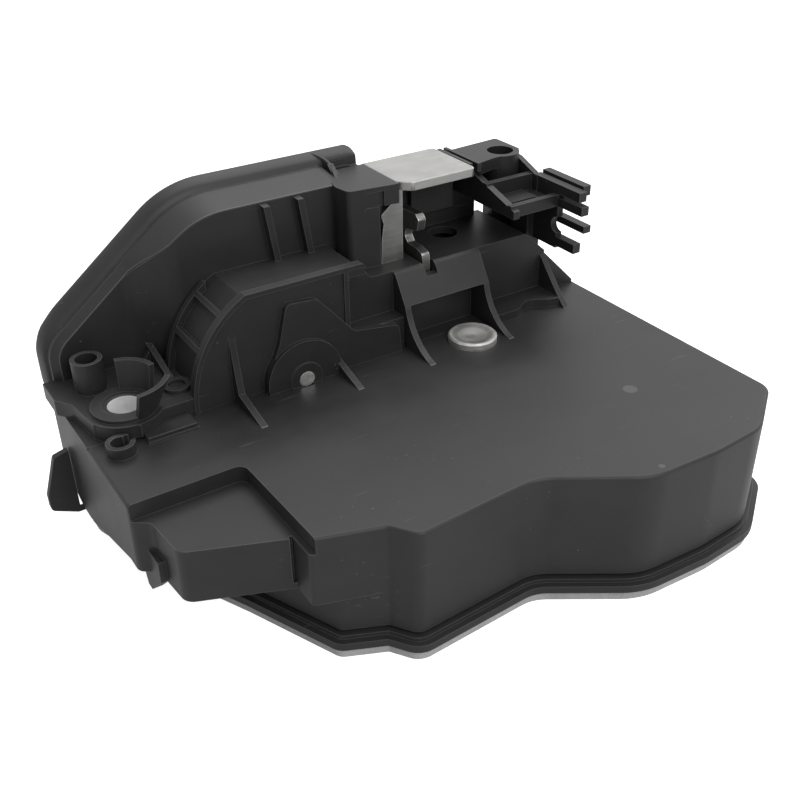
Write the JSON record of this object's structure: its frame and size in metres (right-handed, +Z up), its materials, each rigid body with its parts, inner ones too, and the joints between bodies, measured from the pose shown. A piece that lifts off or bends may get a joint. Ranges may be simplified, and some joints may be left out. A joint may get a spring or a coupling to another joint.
{
  "type": "door latch actuator",
  "caption": "Vehicle door latch with power actuator: black case, fan-shaped gear housing, striker mouth with steel plate and fork, key hub, cable clips, and a foam seal.",
  "frame": {"origin": "middle of the outer size, at the foot of the foam seal", "axes": "+X along the latch wall from the key hub to the striker mouth, +Y from the connector side to the upright back, +Z up from the foot of the seal"},
  "size_m": [0.1932, 0.1411, 0.0935],
  "materials": {
    "case_black": "satin, glass-filled",
    "base_black": "satin",
    "foam_grey": "open foam",
    "zinc_steel": "zinc plated",
    "fork_steel": "dark phosphated",
    "pin_steel": "turned",
    "rivet_steel": "dark coated",
    "spring_steel": "drawn wire",
    "lever_steel": "zinc plated",
    "hub_grey": "satin",
    "gear_white": "smooth",
    "motor_steel": "drawn",
    "cap_black": "smooth",
    "contact_brass": "stamped",
    "rubber_black": "soft"
  },
  "bodies": {
    "housing": {"front_cover": "case_black", "rear_housing": "case_black", "base_tray": "base_black", "foam_gasket": "foam_grey", "latch_plate": "zinc_steel", "mouth_bracket": "zinc_steel", "catch_pin": "pin_steel", "pawl_pin": "pin_steel", "catch_spring": "spring_steel", "pawl_spring": "spring_steel", "mouth_buffer": "rubber_black", "lever_rivet": "rivet_steel", "lock_pin": "pin_steel", "gear_pin": "pin_steel", "motor_can": "motor_steel", "motor_cap": "cap_black", "motor_contacts": "contact_brass", "clip_block": "case_black", "connector_pins": "contact_brass", "lead_frame": "cap_black", "microswitches": "cap_black", "cover_screws": "pin_steel"},
    "catch": {"rotary_catch": "fork_steel"},
    "pawl_body": {"pawl": "fork_steel"},
    "release": {"release_lever": "lever_steel"},
    "inside": {"inside_lever": "lever_steel"},
    "lock": {"lock_lever": "lever_steel"},
    "gear": {"sector_gear": "gear_white"},
    "rotor": {"motor_pinion": "gear_white"},
    "key": {"key_hub": "hub_grey", "key_lever": "lever_steel"}
  },
  "joints": [
    {"name": "catch_turn", "type": "hinge", "parent": "housing", "child": "catch", "pos_m": [0.02975, 0.04725, 0.055], "axis": [-1, 0, 0], "range_deg": [0, 40], "stiffness_Nm_per_rad": 0.02, "springref_deg": -34.38},
    {"name": "pawl_turn", "type": "hinge", "parent": "housing", "child": "pawl_body", "pos_m": [0.02975, 0.05525, 0.041], "axis": [1, 0, 0], "range_deg": [0, 15], "stiffness_Nm_per_rad": 0.01, "springref_deg": -34.38},
    {"name": "release_turn", "type": "hinge", "parent": "housing", "child": "release", "pos_m": [0.03775, 0.02125, 0.03035], "axis": [0, 0, 1], "range_deg": [0, 20]},
    {"name": "inside_turn", "type": "hinge", "parent": "housing", "child": "inside", "pos_m": [0.03775, 0.02125, 0.02755], "axis": [0, 0, 1], "range_deg": [0, 20]},
    {"name": "lock_turn", "type": "hinge", "parent": "housing", "child": "lock", "pos_m": [-0.03865, 0.00825, 0.02255], "axis": [0, 0, 1], "range_deg": [-20, 20]},
    {"name": "gear_turn", "type": "hinge", "parent": "housing", "child": "gear", "pos_m": [-0.02065, 0.03975, 0.043], "axis": [0, 1, 0], "range_deg": [0, 50]},
    {"name": "motor_turn", "type": "hinge", "parent": "housing", "child": "rotor", "pos_m": [0.00111, 0.03975, 0.01707], "axis": [0, 1, 0], "range_deg": [-235, 15]},
    {"name": "key_turn", "type": "hinge", "parent": "housing", "child": "key", "pos_m": [-0.07345, 0.03675, 0.04], "axis": [0, 0, 1], "range_deg": [-35, 35]}
  ],
  "couplings": [
    {"joint": "motor_turn", "follows": "gear_turn", "ratio": -4.4}
  ]
}
